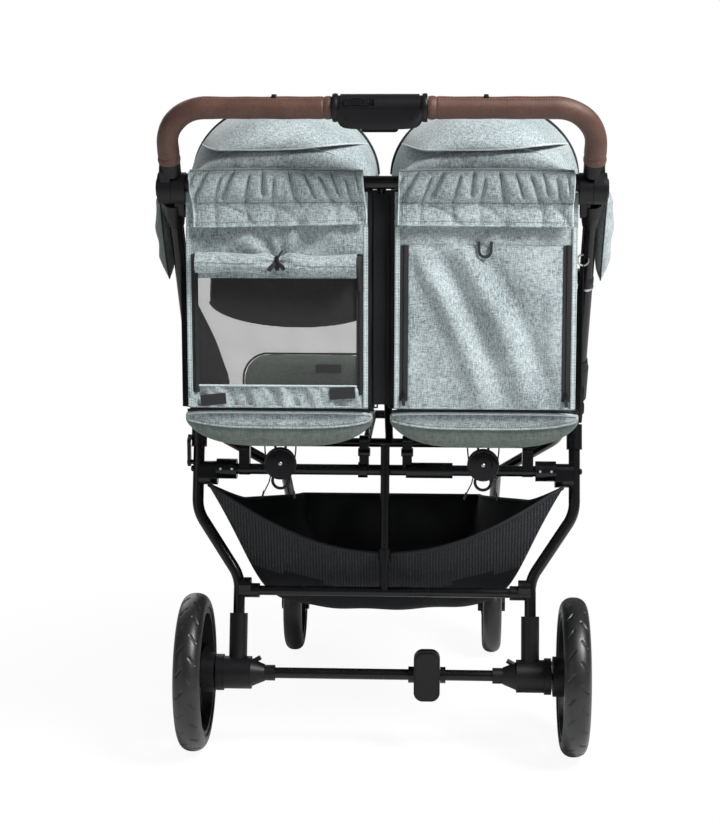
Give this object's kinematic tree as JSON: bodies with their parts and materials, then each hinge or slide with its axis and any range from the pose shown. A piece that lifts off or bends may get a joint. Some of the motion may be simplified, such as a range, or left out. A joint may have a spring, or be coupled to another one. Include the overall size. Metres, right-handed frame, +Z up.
{
  "type": "side by side double stroller",
  "caption": "Folding stroller with two seats side by side, laid back, with open hoods, a leather push bar, swivel front wheels, a rear brake pedal and a basket below.",
  "frame": {"origin": "centre of the bounding box at the ground", "axes": "+Z up, +Y forward, +X to the right seen from behind"},
  "size_m": [0.6926, 0.953, 1.075],
  "materials": {
    "tube_black": "black anodised, satin",
    "plastic_black": "fine grain",
    "fabric_sage": "heathered plain weave",
    "leather_brown": "stitched, semi matte",
    "tyre_rubber": "matte",
    "steel_pin": "bright",
    "fabric_black": "mesh and plain weave"
  },
  "bodies": {
    "main_frame": {"side_tube_left": "tube_black", "side_tube_right": "tube_black", "fold_hub_left": "plastic_black", "fold_hub_right": "plastic_black", "top_crossbar": "tube_black", "hinge_lower_left": "plastic_black", "hinge_lower_right": "plastic_black", "seat_base": "tube_black", "seat_pad_left": "fabric_sage", "seat_pad_right": "fabric_sage", "rear_panel_left": "fabric_sage", "rear_panel_right": "fabric_sage", "sleeve_left": "fabric_sage", "sleeve_right": "fabric_sage", "canopy_rear_left": "fabric_sage", "canopy_rear_right": "fabric_sage"},
    "handle": {"handlebar": "tube_black", "grips": "leather_brown", "fold_housing": "plastic_black", "hinge_upper_left": "plastic_black", "hinge_upper_right": "plastic_black"},
    "trigger": {"fold_trigger": "plastic_black"},
    "slider": {"lock_slider": "plastic_black"},
    "front_legs": {"front_leg_left": "tube_black", "front_leg_right": "tube_black", "swivel_housing_left": "plastic_black", "swivel_housing_right": "plastic_black", "footrest": "tube_black"},
    "rear_legs": {"rear_leg_left": "tube_black", "rear_leg_right": "tube_black", "rear_crossbar": "tube_black", "basket_frame": "tube_black", "axle_tube": "tube_black", "axle_bracket_left": "plastic_black", "axle_bracket_right": "plastic_black", "basket": "fabric_black"},
    "latch": {"storage_latch": "plastic_black"},
    "pedal": {"brake_pedal": "plastic_black"},
    "canopy_left": {"canopy_front_left": "fabric_sage"},
    "backrest_left": {"backrest_frame_left": "tube_black", "backrest_pad_left": "fabric_sage", "recline_disc_left": "plastic_black"},
    "leg_rest_left": {"leg_rest_left": "fabric_sage"},
    "caster_left": {"fork_left": "plastic_black"},
    "front_wheel_left": {"front_tyre_left": "tyre_rubber", "front_rim_left": "plastic_black"},
    "rear_wheel_left": {"rear_tyre_left": "tyre_rubber", "rear_rim_left": "plastic_black"},
    "brake_pin_left": {"brake_pin_left": "steel_pin"},
    "canopy_right": {"canopy_front_right": "fabric_sage"},
    "backrest_right": {"backrest_frame_right": "tube_black", "backrest_pad_right": "fabric_sage", "recline_disc_right": "plastic_black"},
    "leg_rest_right": {"leg_rest_right": "fabric_sage"},
    "caster_right": {"fork_right": "plastic_black"},
    "front_wheel_right": {"front_tyre_right": "tyre_rubber", "front_rim_right": "plastic_black"},
    "rear_wheel_right": {"rear_tyre_right": "tyre_rubber", "rear_rim_right": "plastic_black"},
    "brake_pin_right": {"brake_pin_right": "steel_pin"}
  },
  "joints": [
    {"name": "handle_fold", "type": "hinge", "parent": "main_frame", "child": "handle", "pos_m": [0, -0.385, 0.935], "axis": [1, 0, 0], "range_deg": [0, 110]},
    {"name": "trigger_pull", "type": "slide", "parent": "handle", "child": "trigger", "axis": [0, 0, 1], "range_m": [0, 0.007], "stiffness_N_per_m": 300},
    {"name": "slider_slide", "type": "slide", "parent": "handle", "child": "slider", "axis": [1, 0, 0], "range_m": [0, 0.008], "stiffness_N_per_m": 150},
    {"name": "front_legs_fold", "type": "hinge", "parent": "main_frame", "child": "front_legs", "pos_m": [0, -0.13, 0.56], "axis": [-1, 0, 0], "range_deg": [0, 35], "deforming": ["basket"]},
    {"name": "rear_legs_fold", "type": "hinge", "parent": "main_frame", "child": "rear_legs", "pos_m": [0, -0.13, 0.56], "axis": [1, 0, 0], "range_deg": [0, 18.42]},
    {"name": "latch_turn", "type": "hinge", "parent": "rear_legs", "child": "latch", "pos_m": [-0.33, -0.15583, 0.46753], "axis": [1, 0, 0], "range_deg": [0, 60]},
    {"name": "pedal_tip", "type": "hinge", "parent": "rear_legs", "child": "pedal", "pos_m": [0.072, -0.25, 0.1305], "axis": [1, 0, 0], "range_deg": [0, 18]},
    {"name": "canopy_left_turn", "type": "hinge", "parent": "main_frame", "child": "canopy_left", "pos_m": [-0.1585, -0.215, 0.79], "axis": [1, 0, 0], "range_deg": [0, 70]},
    {"name": "backrest_left_recline", "type": "hinge", "parent": "main_frame", "child": "backrest_left", "pos_m": [-0.1585, 0.03, 0.5], "axis": [-1, 0, 0], "range_deg": [0, 55]},
    {"name": "leg_rest_left_turn", "type": "hinge", "parent": "main_frame", "child": "leg_rest_left", "pos_m": [-0.1585, 0.285, 0.478], "axis": [-1, 0, 0], "range_deg": [0, 165]},
    {"name": "caster_left_swivel", "type": "hinge", "parent": "front_legs", "child": "caster_left", "pos_m": [-0.193, 0.365, 0.22], "axis": [0, 0, 1], "continuous": true},
    {"name": "front_wheel_left_spin", "type": "hinge", "parent": "caster_left", "child": "front_wheel_left", "pos_m": [-0.193, 0.33, 0.095], "axis": [1, 0, 0], "continuous": true},
    {"name": "rear_wheel_left_spin", "type": "hinge", "parent": "rear_legs", "child": "rear_wheel_left", "pos_m": [-0.313, -0.25, 0.1305], "axis": [1, 0, 0], "continuous": true},
    {"name": "brake_pin_left_slide", "type": "slide", "parent": "rear_legs", "child": "brake_pin_left", "axis": [-1, 0, 0], "range_m": [0, 0.007]},
    {"name": "canopy_right_turn", "type": "hinge", "parent": "main_frame", "child": "canopy_right", "pos_m": [0.1585, -0.215, 0.79], "axis": [1, 0, 0], "range_deg": [0, 70]},
    {"name": "backrest_right_recline", "type": "hinge", "parent": "main_frame", "child": "backrest_right", "pos_m": [0.1585, 0.03, 0.5], "axis": [-1, 0, 0], "range_deg": [0, 55]},
    {"name": "leg_rest_right_turn", "type": "hinge", "parent": "main_frame", "child": "leg_rest_right", "pos_m": [0.1585, 0.285, 0.478], "axis": [-1, 0, 0], "range_deg": [0, 165]},
    {"name": "caster_right_swivel", "type": "hinge", "parent": "front_legs", "child": "caster_right", "pos_m": [0.193, 0.365, 0.22], "axis": [0, 0, 1], "continuous": true},
    {"name": "front_wheel_right_spin", "type": "hinge", "parent": "caster_right", "child": "front_wheel_right", "pos_m": [0.193, 0.33, 0.095], "axis": [1, 0, 0], "continuous": true},
    {"name": "rear_wheel_right_spin", "type": "hinge", "parent": "rear_legs", "child": "rear_wheel_right", "pos_m": [0.313, -0.25, 0.1305], "axis": [1, 0, 0], "continuous": true},
    {"name": "brake_pin_right_slide", "type": "slide", "parent": "rear_legs", "child": "brake_pin_right", "axis": [1, 0, 0], "range_m": [0, 0.007]}
  ],
  "couplings": [
    {"joint": "rear_legs_fold", "follows": "front_legs_fold", "ratio": 0.5263},
    {"joint": "brake_pin_left_slide", "follows": "pedal_tip", "m_per_rad": 0.0222},
    {"joint": "brake_pin_right_slide", "follows": "pedal_tip", "m_per_rad": 0.0222}
  ]
}
